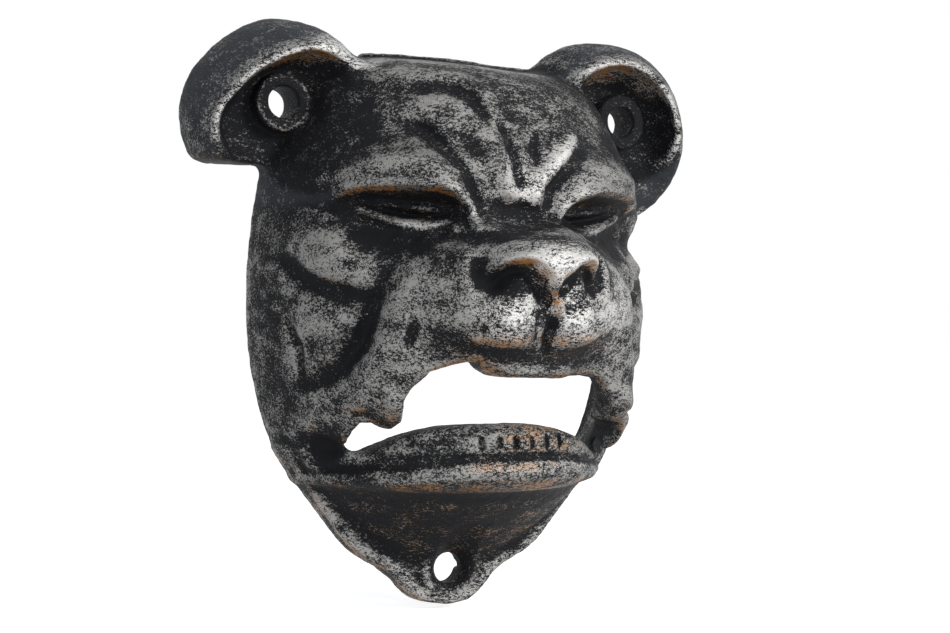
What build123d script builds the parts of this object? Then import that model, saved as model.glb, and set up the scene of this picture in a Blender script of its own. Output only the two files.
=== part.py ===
from build123d import *
import os
from math import cos, exp, hypot, pi, sin

# A dog's head cast in iron, hollow behind and open at the mouth, that hangs on a wall as a bottle opener.
# The origin lies on the wall plane, midway between the screw holes of the two ears.
# +X is the viewer's right, -Y comes out of the wall towards the viewer and +Z is up.
# All lengths are in millimetres.

# Driving dimensions of the whole head
head_half_width = 42.6
face_depth = 35.0
crown_height = 10.0
chin_drop = 100.6
wall = 4.5
overrun = 6.0

# Screw holes and bosses
ear_hole_spacing = 77.0
chin_hole_edge = 7.8
screw_hole_diameter = 6.2
screw_head_diameter = 8.4
boss_diameter = 11.5
boss_height = 8.0
driver_diameter = 12.6
chin_plate_thickness = 5.5
countersink_depth = 1.6

# Ears
left_ear_radius = 18.6
right_ear_radius = 19.4
ear_depth = 12.5
ear_rim_radius = 13.2
ear_rim_thickness = 3.0
ear_floor = 4.6
left_ear_cut_drop = 12.0
ear_sink = 1.4

# Mouth and the plate over it
mouth_top_drop = 53.2
mouth_height = 9.4
mouth_half_width = 20.0
mouth_slot_half_width = 27.0
mouth_slot_height = 3.2
mouth_slot_sink = 3.0
cap_rest_half_width = 10.5
cap_rest_height = 4.8
cap_rest_reach = 37.6

# Lower jaw
jaw_half_width = 35.6
jaw_reach = 33.2
jaw_height = 13.2
jaw_edge_radius = 4.2
jaw_thickness = 5.4

# Borders where the casting is divided. Each ear meets the head on a slanted plane, from a point
# near the crown out and down to a point beside the brow, both placed from the ear's screw hole.
brow_border_drop = 19.5
muzzle_border_share = 0.446
flew_border_share = 0.74
chin_border_gap = 1.2
ear_border_crown_inset = 14.5
ear_border_crown_rise = 13.0
ear_border_brow_offset = 4.0
left_ear_border_drop = 13.0
right_ear_border_drop = 22.0

# Sizes that follow from the ones above
head_height = crown_height + chin_drop
ear_x = ear_hole_spacing / 2
muzzle_border = muzzle_border_share * head_half_width
flew_border = flew_border_share * head_half_width
mouth_floor_drop = mouth_top_drop + mouth_height
mouth_slot_drop = mouth_floor_drop + mouth_slot_sink
chin_hole_drop = chin_drop - chin_hole_edge
lip_border_drop = mouth_top_drop - cap_rest_height
jaw_lip_border_drop = mouth_top_drop + mouth_height / 2
jaw_border_drop = mouth_slot_drop - mouth_slot_height / 2
chin_border_drop = mouth_floor_drop + jaw_height + chin_border_gap
block = 2 * (head_height + ear_hole_spacing)
skull_levels = 48
section_steps = 44
hill_steepness = 1.5

# Skull sections from the crown to the chin, each half an ellipse that ends on the wall plane:
# distance down from the crown as a share of head_height, half width as a share of head_half_width,
# depth as a share of face_depth.
skull_shares = (
    (0.000, 0.46, 0.20),
    (0.018, 0.65, 0.46),
    (0.055, 0.76, 0.68),
    (0.120, 0.86, 0.82),
    (0.215, 0.95, 0.92),
    (0.360, 0.995, 0.99),
    (0.500, 0.995, 0.99),
    (0.615, 0.945, 0.92),
    (0.705, 0.860, 0.78),
    (0.790, 0.690, 0.56),
    (0.870, 0.480, 0.30),
    (0.920, 0.320, 0.16),
)

# Swellings and hollows of the face, each a smooth hill on the skull, mirrored when it lies off the
# middle plane. Distance out from the middle as a share of head_half_width, distance below the ear
# holes as a share of chin_drop, the same two measures for its spread, rise as a share of face_depth.
hill_shares = (
    ("muzzle", 0.00, 0.385, 0.50, 0.135, 0.19),
    ("nose", 0.00, 0.305, 0.29, 0.072, 0.22),
    ("lip pad", 0.20, 0.415, 0.16, 0.062, 0.06),
    ("flank", 0.47, 0.385, 0.21, 0.090, 0.07),
    ("flew", 0.58, 0.535, 0.19, 0.080, 0.09),
    ("cheek", 0.86, 0.310, 0.18, 0.080, 0.06),
    ("brow", 0.52, 0.142, 0.32, 0.052, 0.13),
    ("eye hollow", 0.52, 0.225, 0.27, 0.040, -0.14),
    ("nose root", 0.00, 0.225, 0.15, 0.035, -0.10),
)

# Folds and furrows of the skin, each a smooth band along a course, on both sides when it is mirrored.
# Half breadth as a share of head_half_width, rise as a share of face_depth, then the course by its
# distance out from the middle as a share of head_half_width and below the ear holes as a share of
# chin_drop.
fold_shares = (
    ("crown fold", 0.055, 0.026, False, ((-0.49, -0.05), (-0.32, -0.06), (-0.18, -0.05), (-0.06, 0.03))),
    ("crown furrow", 0.045, -0.026, False, ((-0.40, -0.02), (-0.26, -0.03), (-0.17, -0.01), (-0.12, 0.04))),
    ("middle bulge", 0.085, 0.037, False, ((-0.48, 0.01), (-0.31, 0.01), (-0.17, 0.04), (-0.01, 0.12))),
    ("middle furrow", 0.050, -0.043, False, ((-0.50, 0.04), (-0.35, 0.10), (-0.29, 0.13), (-0.21, 0.19))),
    ("brow bulge", 0.085, 0.020, False, ((-0.64, 0.10), (-0.54, 0.10), (-0.41, 0.15))),
    ("root groove", 0.042, -0.034, False, ((-0.07, 0.04), (-0.03, 0.07), (0.00, 0.11), (0.00, 0.15))),
    ("right fold", 0.055, 0.034, False, ((0.35, 0.06), (0.21, 0.11), (0.10, 0.15), (0.06, 0.20))),
    ("right furrow", 0.042, -0.037, False, ((0.38, 0.09), (0.24, 0.13), (0.17, 0.17), (0.15, 0.20))),
    ("left fold", 0.055, 0.031, False, ((-0.14, 0.09), (-0.09, 0.13), (-0.03, 0.21))),
    ("brow edge", 0.038, 0.037, True, ((0.77, 0.18), (0.55, 0.168), (0.31, 0.177), (0.24, 0.24))),
    ("under brow", 0.047, -0.074, True, ((0.74, 0.20), (0.53, 0.19), (0.37, 0.194), (0.27, 0.21))),
    ("lower lid", 0.038, 0.045, True, ((0.72, 0.20), (0.56, 0.224), (0.44, 0.238), (0.32, 0.231))),
    ("eye hollow", 0.075, -0.050, True, ((0.74, 0.243), (0.66, 0.267), (0.58, 0.282), (0.44, 0.279))),
    ("nose crease", 0.045, -0.050, False, ((-0.37, 0.254), (-0.30, 0.265), (0.02, 0.237), (0.49, 0.232))),
    ("nose bulb", 0.085, 0.045, False, ((-0.11, 0.303), (0.12, 0.303))),
    ("nostril", 0.047, -0.043, True, ((0.25, 0.353), (0.19, 0.322), (0.12, 0.325), (0.06, 0.347))),
    ("nostril floor", 0.060, -0.026, True, ((0.22, 0.359), (0.16, 0.355), (0.09, 0.366))),
    ("lip groove", 0.038, -0.054, False, ((0.05, 0.414), (0.04, 0.441), (0.05, 0.474))),
    ("wing recess", 0.060, -0.054, True, ((0.29, 0.30), (0.31, 0.333), (0.28, 0.366))),
    ("upper lip", 0.080, 0.054, True, ((0.23, 0.421), (0.06, 0.426))),
    ("muzzle furrow", 0.070, -0.066, True, ((0.63, 0.335), (0.68, 0.397), (0.71, 0.466), (0.86, 0.545))),
    ("muzzle ridge", 0.085, 0.029, True, ((0.57, 0.363), (0.65, 0.494), (0.69, 0.542))),
    ("cheek band", 0.066, -0.043, True, ((0.96, 0.302), (0.89, 0.345), (0.78, 0.372), (0.67, 0.382))),
    ("cheek patch", 0.117, 0.029, True, ((0.90, 0.285), (0.81, 0.311), (0.75, 0.330))),
    ("lower cheek", 0.094, 0.026, True, ((0.91, 0.413), (0.75, 0.429))),
    ("cheek groove", 0.038, -0.026, True, ((0.92, 0.430), (0.90, 0.474), (0.87, 0.531))),
    ("flew strand", 0.047, 0.031, True, ((0.59, 0.554), (0.54, 0.610))),
)

# Outline of the flange below the jaw: half width as a share of head_half_width, distance below the
# ear holes as a share of chin_drop.
flange_shares = (
    (0.880, 0.670),
    (0.740, 0.760),
    (0.640, 0.820),
    (0.500, 0.885),
    (0.330, 0.925),
    (0.165, 0.985),
)


def skull_size(down):
    """Half width and depth of the plain skull at a share of the way down, on a smooth curve."""
    last = len(skull_shares) - 1
    index = max(i for i in range(last) if skull_shares[i][0] <= down)
    before = skull_shares[max(index - 1, 0)]
    start = skull_shares[index]
    end = skull_shares[index + 1]
    after = skull_shares[min(index + 2, last)]
    span = end[0] - start[0]
    part = (down - start[0]) / span
    sizes = []
    for column in (1, 2):
        slope_in = (end[column] - before[column]) / (end[0] - before[0]) * span
        slope_out = (after[column] - start[column]) / (after[0] - start[0]) * span
        rise = end[column] - start[column]
        curve = 3 * rise - 2 * slope_in - slope_out
        bend = slope_in + slope_out - 2 * rise
        sizes.append(start[column] + part * (slope_in + part * (curve + part * bend)))
    return sizes[0] * head_half_width, sizes[1] * face_depth


def from_course(x, z, course):
    """Distance of one place from a course, as the viewer sees it."""
    nearest = block
    for start, end in zip(course, course[1:]):
        off_x = x - start[0] * head_half_width
        off_z = z + start[1] * chin_drop
        run_x = (end[0] - start[0]) * head_half_width
        run_z = (start[1] - end[1]) * chin_drop
        part = (off_x * run_x + off_z * run_z) / (run_x**2 + run_z**2)
        part = max(0, min(1, part))
        nearest = min(nearest, hypot(off_x - part * run_x, off_z - part * run_z))
    return nearest


def folding(x, z):
    """How far the folds raise the skin at one place, or the furrows sink it."""
    total = 0
    for name, breadth, rise, mirrored, course in fold_shares:
        places = (x, -x) if mirrored else (x,)
        for place in places:
            away = from_course(place, z, course) / (breadth * head_half_width)
            total += rise * face_depth * exp(-(away**2))
    return total


def swelling(x, z):
    """How far the face stands out from the plain skull at one place."""
    total = 0
    for name, out, down, spread_x, spread_z, rise in hill_shares:
        sides = (1,) if out == 0 else (-1, 1)
        for side in sides:
            across = (x - side * out * head_half_width) / (spread_x * head_half_width)
            along = (z + down * chin_drop) / (spread_z * chin_drop)
            total += rise * face_depth * exp(-((across**2 + along**2) ** hill_steepness))
    return total


def skull_section(down, shrink):
    """One level section of the skull with its swellings, closed behind the wall plane."""
    half_width, depth = skull_size(down)
    half_width -= shrink
    depth -= shrink
    level = crown_height - down * head_height
    points = []
    for step in range(section_steps + 1):
        turn = pi * step / section_steps
        x = -half_width * cos(turn)
        y = -depth * sin(turn)
        rise = swelling(x, level)
        if shrink == 0:
            rise += folding(x, level)
        slope = Vector(x / half_width**2, y / depth**2).normalized()
        points.append((x + slope.X * rise * sin(turn), y + slope.Y * rise * sin(turn)))
    front = Spline(*points)
    back = Polyline(points[-1], (half_width, overrun), (-half_width, overrun), points[0])
    return Pos(0, 0, level) * make_face([front, back])


def skull(shrink):
    """The skull as a loft through its level sections, smaller by shrink all round."""
    top = shrink / head_height
    bottom = skull_shares[-1][0] - top
    levels = [top + (bottom - top) * step / skull_levels for step in range(skull_levels + 1)]
    return loft([skull_section(down, shrink) for down in levels], ruled=True)


def front_of_wall():
    """Everything on the viewer's side of the wall plane."""
    return Pos(0, -block / 2, 0) * Box(block, block, block)


def zone(x_low, x_high, z_low, z_high):
    """A block that cuts the whole depth of the head between two widths and two heights."""
    size_x = x_high - x_low
    size_z = z_high - z_low
    return Pos((x_low + x_high) / 2, 0, (z_low + z_high) / 2) * Box(size_x, block, size_z)


def side_zone(side, near, far, z_low, z_high):
    """The same block on one side, between two distances out from the middle."""
    low = min(side * near, side * far)
    high = max(side * near, side * far)
    return zone(low, high, z_low, z_high)


def jaw_shelf(shrink):
    """The lower lip as a rounded half ellipse that stands out like a shelf."""
    height = jaw_height - 2 * shrink
    top = -mouth_floor_drop - shrink
    shelf = extrude(Ellipse(jaw_half_width - shrink, jaw_reach - shrink), amount=height)
    if shrink == 0:
        shelf = fillet(shelf.edges(), jaw_edge_radius)
    return Pos(0, 0, top - height) * shelf


def flange():
    """The flat plate below the jaw that carries the chin screw hole."""
    points = [(-w * head_half_width, -d * chin_drop) for w, d in flange_shares]
    points.append((0, -chin_drop))
    points += [(w * head_half_width, -d * chin_drop) for w, d in reversed(flange_shares)]
    rim = Plane.XZ * Spline(*points)
    close = Plane.XZ * Line(points[-1], points[0])
    return extrude(make_face([rim, close]), amount=chin_plate_thickness)


def ear(side, radius):
    """A cupped ear: a wall that leans inwards round a floor, with a boss for the screw."""
    lean = Rotation(90, 0, 0)
    body = Pos(0, -ear_depth / 2, -ear_sink) * lean * Cone(radius, ear_rim_radius, ear_depth)
    cup_depth = ear_depth - ear_floor
    lean_rate = (radius - ear_rim_radius) / ear_depth
    mouth_radius = ear_rim_radius - ear_rim_thickness
    cup_radius = mouth_radius + lean_rate * cup_depth / 2
    cup = lean * Cone(cup_radius, mouth_radius, cup_depth)
    cup = Pos(0, -ear_floor - cup_depth / 2, -ear_sink) * cup
    boss = Pos(0, -boss_height / 2, 0) * lean * Cylinder(boss_diameter / 2, boss_height)
    shape = body - cup + boss
    if side < 0:
        shape = shape - zone(-block, block, -block, -left_ear_cut_drop)
    return Pos(side * ear_x, 0, 0) * shape


def driver_space():
    """The way in front of each boss that a screw head and its driver need."""
    reach = block / 2
    way = Rotation(90, 0, 0) * Cylinder(driver_diameter / 2, reach)
    middle = -boss_height - reach / 2
    return Pos(-ear_x, middle, 0) * way + Pos(ear_x, middle, 0) * way


def cap_rest_block():
    middle = (cap_rest_reach + face_depth - wall) / 2
    depth = cap_rest_reach - face_depth + wall
    level = -mouth_top_drop + cap_rest_height / 2
    return Pos(0, -middle, level) * Box(2 * cap_rest_half_width, depth, cap_rest_height)


def mouth_cut():
    """The open mouth, with a narrow slot at each side below the hanging lips."""
    opening = zone(-mouth_half_width, mouth_half_width, -mouth_floor_drop, -mouth_top_drop)
    slot_top = -mouth_slot_drop + mouth_slot_height
    slot_inner = mouth_half_width - wall
    for side in (-1, 1):
        slot = side_zone(side, slot_inner, mouth_slot_half_width, -mouth_slot_drop, slot_top)
        opening = opening + slot
    return opening


def screw_holes():
    lean = Rotation(90, 0, 0)
    drill = lean * Cylinder(screw_hole_diameter / 2, block)
    holes = Pos(-ear_x, 0, 0) * drill + Pos(ear_x, 0, 0) * drill + Pos(0, 0, -chin_hole_drop) * drill
    sink = lean * Cone(screw_hole_diameter / 2, screw_head_diameter / 2, countersink_depth)
    sink_y = -chin_plate_thickness + countersink_depth / 2
    return holes + Pos(0, sink_y, -chin_hole_drop) * sink


def casting():
    """The whole head in one piece, hollow and open behind."""
    outside = skull(0) + cap_rest_block() + jaw_shelf(0) + flange() - mouth_cut()
    hollow = skull(wall) + jaw_shelf(jaw_thickness)
    body = outside & front_of_wall()
    body = body - driver_space() + ear(-1, left_ear_radius) + ear(1, right_ear_radius)
    return body - hollow - screw_holes()


def ear_zone(side, low_drop):
    """Everything on the ear's side of its slanted border."""
    crown_out = ear_x - ear_border_crown_inset
    brow_out = ear_x + ear_border_brow_offset
    corners = [
        (side * block, block),
        (side * crown_out, block),
        (side * crown_out, ear_border_crown_rise),
        (side * brow_out, -low_drop),
        (side * block, -low_drop),
    ]
    face = Plane.XZ * make_face(Polyline(*corners, close=True))
    return extrude(face, amount=block, both=True)


def cheek_zone(side):
    upper = side_zone(side, muzzle_border, block, -lip_border_drop, -brow_border_drop)
    lower = side_zone(side, flew_border, block, -jaw_border_drop, -lip_border_drop)
    return upper + lower


def flew_zone(side):
    near = cap_rest_half_width
    return side_zone(side, near, flew_border, -jaw_border_drop, -lip_border_drop) - jaw_zone()


def jaw_zone():
    shelf = zone(-block, block, -chin_border_drop, -jaw_border_drop)
    lip = zone(-mouth_half_width, mouth_half_width, -jaw_border_drop, -jaw_lip_border_drop)
    return shelf + lip


def regions():
    """The named regions of the casting, each as the space that it fills."""
    left_ear = ear_zone(-1, left_ear_border_drop)
    right_ear = ear_zone(1, right_ear_border_drop)
    ears = left_ear + right_ear
    rest = cap_rest_half_width
    return {
        "left_ear": left_ear,
        "right_ear": right_ear,
        "forehead": zone(-block, block, -brow_border_drop, block) - ears,
        "left_cheek": cheek_zone(-1) - ears,
        "right_cheek": cheek_zone(1) - ears,
        "muzzle": zone(-muzzle_border, muzzle_border, -lip_border_drop, -brow_border_drop),
        "cap_rest": zone(-rest, rest, -jaw_lip_border_drop, -lip_border_drop),
        "left_flew": flew_zone(-1),
        "right_flew": flew_zone(1),
        "lower_jaw": jaw_zone(),
        "chin_plate": zone(-block, block, -block, -chin_border_drop),
    }


def write_parts():
    os.makedirs("parts", exist_ok=True)
    body = casting()
    print("casting solids", len(body.solids()), "volume", round(body.volume))
    for name, space in regions().items():
        piece = body & space
        print(name, "solids", len(piece.solids()), "volume", round(piece.volume))
        export_step(piece, "parts/" + name + ".step")


write_parts()
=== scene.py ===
from math import cos, radians, sin

import bpy
import bmesh
import numpy as np
from mathutils import Matrix, Vector


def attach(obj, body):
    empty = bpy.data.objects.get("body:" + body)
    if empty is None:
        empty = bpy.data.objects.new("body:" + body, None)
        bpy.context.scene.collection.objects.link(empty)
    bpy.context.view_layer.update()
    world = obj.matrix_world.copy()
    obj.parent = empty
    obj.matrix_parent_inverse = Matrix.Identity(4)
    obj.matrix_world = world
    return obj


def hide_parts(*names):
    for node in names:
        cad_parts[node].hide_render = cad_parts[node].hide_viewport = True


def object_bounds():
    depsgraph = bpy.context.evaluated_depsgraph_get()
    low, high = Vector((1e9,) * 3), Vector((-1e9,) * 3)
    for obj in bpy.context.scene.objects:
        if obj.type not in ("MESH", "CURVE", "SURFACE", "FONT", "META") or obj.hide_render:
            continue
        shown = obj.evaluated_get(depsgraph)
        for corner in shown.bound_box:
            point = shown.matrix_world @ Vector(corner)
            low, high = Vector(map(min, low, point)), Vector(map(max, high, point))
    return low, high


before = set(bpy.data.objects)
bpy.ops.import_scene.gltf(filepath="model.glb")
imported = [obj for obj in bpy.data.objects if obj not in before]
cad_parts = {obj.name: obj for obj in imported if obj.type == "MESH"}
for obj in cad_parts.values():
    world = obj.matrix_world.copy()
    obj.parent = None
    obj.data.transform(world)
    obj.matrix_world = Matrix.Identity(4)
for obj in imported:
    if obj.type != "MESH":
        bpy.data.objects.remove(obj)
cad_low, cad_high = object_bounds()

# The dog's head is one iron casting. Its outside and inside are worked out as one solid shape on a
# fine lattice, in millimetres, and the surface is then divided along the borders of the CAD nodes,
# so that each piece stands for one node and no seam shows between them.
# +X is the viewer's right, -Y comes out of the wall towards the viewer and +Z is up.

MM = 0.001
LATTICE = 0.42
tiny = 1e-9
far = 1e9

# Driving sizes of the casting, close to those of the CAD
head_half_width = 42.6
face_depth = 35.0
crown_height = 10.0
chin_drop = 100.6
head_height = crown_height + chin_drop
wall = 4.5
thinnest_wall = 2.2
ear_x = 38.5
ear_sink = 1.4
ear_depth = 12.5
ear_floor = 4.6
left_ear_cut_drop = 12.0
boss_radius = 5.75
boss_height = 8.0
screw_hole_radius = 3.1
driver_radius = 6.3
chin_hole_drop = 92.8
chin_plate_thickness = 5.5
jaw_reach = 33.2
jaw_top_drop = 62.4
jaw_bottom_drop = 75.8
jaw_thickness = 5.4
cap_rest_half_width = 10.5
cap_rest_reach = 37.4
hill_steepness = 1.5

# Sections of the skull from the crown down: share of the height, of the half width, of the depth
skull_shares = (
    (0.000, 0.46, 0.20),
    (0.018, 0.65, 0.46),
    (0.055, 0.76, 0.68),
    (0.120, 0.86, 0.82),
    (0.215, 0.95, 0.92),
    (0.360, 0.995, 0.99),
    (0.500, 0.995, 0.99),
    (0.615, 0.945, 0.92),
    (0.705, 0.860, 0.78),
    (0.790, 0.690, 0.56),
    (0.870, 0.480, 0.30),
    (0.920, 0.320, 0.16),
)

# Swellings of the face: place and spread as shares of the half width and of the drop, rise as a
# share of the depth
hill_shares = (
    ("muzzle", 0.00, 0.385, 0.50, 0.135, 0.19),
    ("nose", 0.00, 0.305, 0.29, 0.072, 0.22),
    ("lip pad", 0.20, 0.415, 0.16, 0.062, 0.06),
    ("flank", 0.47, 0.385, 0.21, 0.090, 0.07),
    ("flew", 0.58, 0.535, 0.19, 0.080, 0.09),
    ("cheek", 0.86, 0.310, 0.18, 0.080, 0.06),
    ("brow", 0.52, 0.142, 0.32, 0.052, 0.13),
    ("eye hollow", 0.52, 0.225, 0.27, 0.040, -0.14),
    ("nose root", 0.00, 0.225, 0.15, 0.035, -0.10),
)

# The photograph's camera, in millimetres and pixels
camera_azimuth = -28.0
camera_distance = 430.0
camera_aim = (8.0, 0.0, -41.4)
camera_roll = 0.4
focal_pixels = 2066.0
image_width = 950
image_height = 633


def camera_axes():
    """The camera's place and its right, up and forward directions."""
    turn = radians(camera_azimuth)
    back = Vector((sin(turn), -cos(turn), 0))
    place = Vector(camera_aim) + back * camera_distance
    right = Vector((cos(turn), sin(turn), 0))
    up = Vector((0, 0, 1))
    roll = radians(camera_roll)
    return place, right * cos(roll) + up * sin(roll), up * cos(roll) - right * sin(roll), -back


def ease(low, high, value):
    """0 at the low end and 1 at the high end, with soft ends."""
    share = np.clip((value - low) / (high - low), 0, 1)
    return share * share * (3 - 2 * share)


def bell(value, middle, spread, power=2):
    """1 at the middle, falling to 0 past the spread on both sides."""
    return np.exp(-(((value - middle) / spread) ** power))


def join(a, b, radius):
    """Union of two shapes whose crease is filled to about the given radius."""
    share = np.clip(0.5 + 0.5 * (b - a) / radius, 0, 1)
    return b + (a - b) * share - radius * share * (1 - share)


def cut(a, b, radius):
    """Overlap of two shapes whose edge is rounded to about the given radius."""
    return -join(-a, -b, radius)


def curve_through(places, values, at):
    """A smooth curve through the given values, with the slope of their neighbours."""
    places = np.asarray(places, float)
    values = np.asarray(values, float)
    slopes = np.empty_like(values)
    slopes[1:-1] = (values[2:] - values[:-2]) / (places[2:] - places[:-2])
    slopes[0] = (values[1] - values[0]) / (places[1] - places[0])
    slopes[-1] = (values[-1] - values[-2]) / (places[-1] - places[-2])
    at = np.clip(at, places[0], places[-1])
    index = np.clip(np.searchsorted(places, at, side="right") - 1, 0, len(places) - 2)
    span = places[index + 1] - places[index]
    part = (at - places[index]) / span
    rise = values[index + 1] - values[index]
    slope_in = slopes[index] * span
    slope_out = slopes[index + 1] * span
    curve = 3 * rise - 2 * slope_in - slope_out
    bend = slope_in + slope_out - 2 * rise
    return values[index] + part * (slope_in + part * (curve + part * bend))


def skull_size(z):
    """Half width and depth of the plain skull at the given heights."""
    down = (crown_height - z) / head_height
    table = np.array(skull_shares)
    half_width = curve_through(table[:, 0], table[:, 1], down) * head_half_width
    depth = curve_through(table[:, 0], table[:, 2], down) * face_depth
    return half_width, depth


def swelling(x, z):
    total = 0
    for name, out, down, spread_x, spread_z, rise in hill_shares:
        for side in (1,) if out == 0 else (-1, 1):
            across = (x - side * out * head_half_width) / (spread_x * head_half_width)
            along = (z + down * chin_drop) / (spread_z * chin_drop)
            total = total + rise * face_depth * np.exp(-((across**2 + along**2) ** hill_steepness))
    return total


def ellipse_distance(x, y, half_width, depth):
    """Level distance from an ellipse, true close to it."""
    ring = np.sqrt((x / half_width) ** 2 + (y / depth) ** 2) + tiny
    grade = np.sqrt((x / half_width**2) ** 2 + (y / depth**2) ** 2) / ring + tiny
    return (ring - 1) / grade


def from_axis(x, z, axis_x, axis_drop=0.0):
    """Distance from an axis that runs straight out of the wall."""
    return np.sqrt((x - axis_x) ** 2 + (z + axis_drop) ** 2)


def skull_distance(x, y, z):
    """Level distance from the plain skull, with the turn round its section."""
    half_width, depth = skull_size(z)
    turn = np.arctan2(x / half_width, -y / depth)
    return ellipse_distance(x, y, half_width, depth), turn


# Places read from the photograph in pixels: they are cast onto the head along the camera's rays
ray_near = 330.0
ray_far = 520.0
ray_steps = 1900
ray_slack = 0.5


def place_of_pixel(px, py):
    """Turn round the section and height of the head's surface behind one pixel."""
    place, right, up, ahead = camera_axes()
    ray = ahead + right * ((px - image_width / 2) / focal_pixels)
    ray = (ray + up * ((image_height / 2 - py) / focal_pixels)).normalized()
    along = np.linspace(ray_near, ray_far, ray_steps)
    x = place.x + along * ray.x
    y = place.y + along * ray.y
    z = place.z + along * ray.z
    level, turn = skull_distance(x, y, z)
    half_width = skull_size(z)[0]
    level = level - swelling(half_width * np.sin(turn), z) * np.clip(np.cos(turn), 0, 1)
    inside = np.nonzero((level[:-1] > 0) & (level[1:] <= 0) & (y[1:] < ray_slack))[0]
    if len(inside) == 0:
        nearest = int(np.argmin(np.abs(level)))
        return turn[nearest], z[nearest]
    index = inside[0]
    part = level[index] / (level[index] - level[index + 1])
    return [values[index] + (values[index + 1] - values[index]) * part for values in (turn, z)]


# Strokes of the sculpture: name, half breadth and rise in millimetres, whether the other side of
# the face has it too, and its course in pixels of the photograph
strokes = (
    # Forehead: folds and furrows between the brows
    ("crown swell", 5.0, 2.2, False, ((365, 74), (420, 70), (480, 74), (535, 80))),
    ("crown fold", 2.2, 0.9, False, ((385, 78), (420, 72), (455, 78), (482, 92), (497, 118))),
    ("crown furrow", 1.5, -1.1, False, ((415, 90), (445, 88), (468, 96), (486, 122))),
    ("middle bulge", 3.6, 1.3, False, ((400, 106), (440, 106), (475, 122), (500, 140), (515, 165))),
    ("middle furrow", 1.6, -1.5, False, ((398, 122), (425, 131), (445, 150), (463, 168), (477, 200))),
    ("brow bulge", 3.6, 0.7, False, ((372, 150), (400, 152), (425, 163), (440, 176))),
    ("root groove", 1.3, -1.4, False, ((497, 122), (507, 140), (515, 160), (518, 182))),
    ("short groove", 1.1, -0.9, False, ((536, 137), (534, 150), (537, 160))),
    ("right fold", 2.0, 1.3, False, ((572, 138), (556, 160), (538, 180), (528, 208))),
    ("right furrow", 1.5, -1.5, False, ((580, 152), (566, 172), (552, 190), (548, 206))),
    ("left fold", 2.2, 1.2, False, ((487, 150), (500, 170), (508, 192), (510, 212))),
    # Eyes: brow edge, slit, lids and the hollow below
    ("brow edge", 1.3, 1.5, True, ((336, 193), (362, 188), (400, 186), (438, 186),
                                   (458, 192), (470, 208), (477, 226))),
    ("under brow", 1.7, -2.8, True, ((342, 204), (368, 198), (400, 199), (440, 201), (460, 210))),
    ("upper lid", 0.9, 1.3, True, ((372, 202), (400, 206), (435, 209))),
    ("eye slit", 0.7, -1.9, True, ((368, 207), (395, 213), (425, 217), (447, 215))),
    ("lower lid", 1.4, 1.9, True, ((348, 204), (364, 209), (385, 217), (405, 223), (425, 225), (446, 221))),
    ("eye hollow", 3.2, -1.8, True, ((350, 224), (368, 239), (395, 247), (425, 245))),
    ("tear bump", 1.0, 1.0, True, ((452, 228), (458, 228))),
    ("outer crease", 1.0, -0.9, True, ((298, 200), (318, 203), (338, 210))),
    # Nose: top edge, nostrils, column and wings
    ("nose crease", 1.5, -2.0, False, ((440, 233), (470, 238), (500, 236), (530, 225),
                                       (560, 222), (590, 227))),
    ("nose bulb", 3.6, 1.6, False, ((535, 258), (560, 258), (585, 262))),
    ("nose top", 2.4, 0.9, True, ((500, 250), (520, 246), (540, 246))),
    ("nostril", 1.5, -3.2, True, ((496, 290), (504, 277), (517, 270), (531, 270), (541, 281), (546, 300))),
    ("nostril floor", 2.4, -1.3, True, ((498, 288), (518, 286), (536, 290))),
    ("nostril roof", 1.3, 1.3, True, ((492, 272), (505, 261), (522, 256), (538, 260), (549, 272))),
    ("nose column", 1.1, 2.2, False, ((557, 280), (556, 298), (555, 318))),
    ("lip groove", 1.1, -2.2, False, ((553, 318), (549, 333), (545, 350))),
    ("wing recess", 2.6, -1.9, True, ((484, 256), (482, 274), (488, 292))),
    ("wing edge", 1.2, 0.9, True, ((464, 248), (464, 268), (472, 296))),
    # Lips, muzzle and cheek
    ("lip pad", 4.2, 1.6, True, ((488, 322), (510, 327), (534, 326))),
    ("lip edge", 1.2, 0.9, True, ((474, 338), (500, 342), (535, 345))),
    ("muzzle furrow", 2.4, -2.2, True, ((384, 275), (370, 308), (357, 345), (338, 368), (305, 385))),
    ("muzzle ridge", 3.6, 1.0, True, ((404, 290), (392, 330), (378, 360), (362, 385))),
    ("right temple", 4.6, -3.9, False, ((626, 220), (636, 236), (640, 258), (640, 290))),
    ("right flew swell", 4.5, 3.4, False, ((612, 392), (612, 420), (604, 440), (594, 458))),
    ("muzzle pit", 1.0, -0.9, False, ((414, 322), (409, 345))),
    ("cheek band", 2.3, -1.5, True, ((280, 258), (305, 280), (335, 292), (372, 300))),
    ("cheek patch", 5.0, 1.0, True, ((300, 245), (330, 262), (350, 272))),
    ("lower cheek", 4.0, 0.9, True, ((296, 316), (325, 322), (345, 325))),
    ("cheek groove", 1.1, -1.1, True, ((288, 325), (297, 348), (301, 378))),
    ("flew strand", 1.8, 1.2, True, ((390, 392), (396, 408), (394, 424))),
    ("flew groove", 1.2, -0.9, True, ((350, 414), (368, 418), (384, 426))),
    ("mouth corner", 2.8, -3.0, True, ((306, 441), (324, 450), (344, 459))),
    ("corner lip", 1.4, 1.4, True, ((302, 446), (312, 464), (332, 477), (360, 480))),
)

# Bulges of the right side that only show in its outline: turn, height, spreads of both, rise
side_bulges = (
    ("brow end", 1.10, -20.0, 0.22, 3.4, 1.5),
    ("temple dent", 1.15, -26.6, 0.24, 3.0, -2.2),
    ("cheek", 1.10, -34.0, 0.25, 3.6, 0.3),
    ("flank", 1.15, -49.5, 0.25, 4.0, 1.2),
    ("lip dent", 1.10, -57.8, 0.25, 4.0, -2.0),
)

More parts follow.
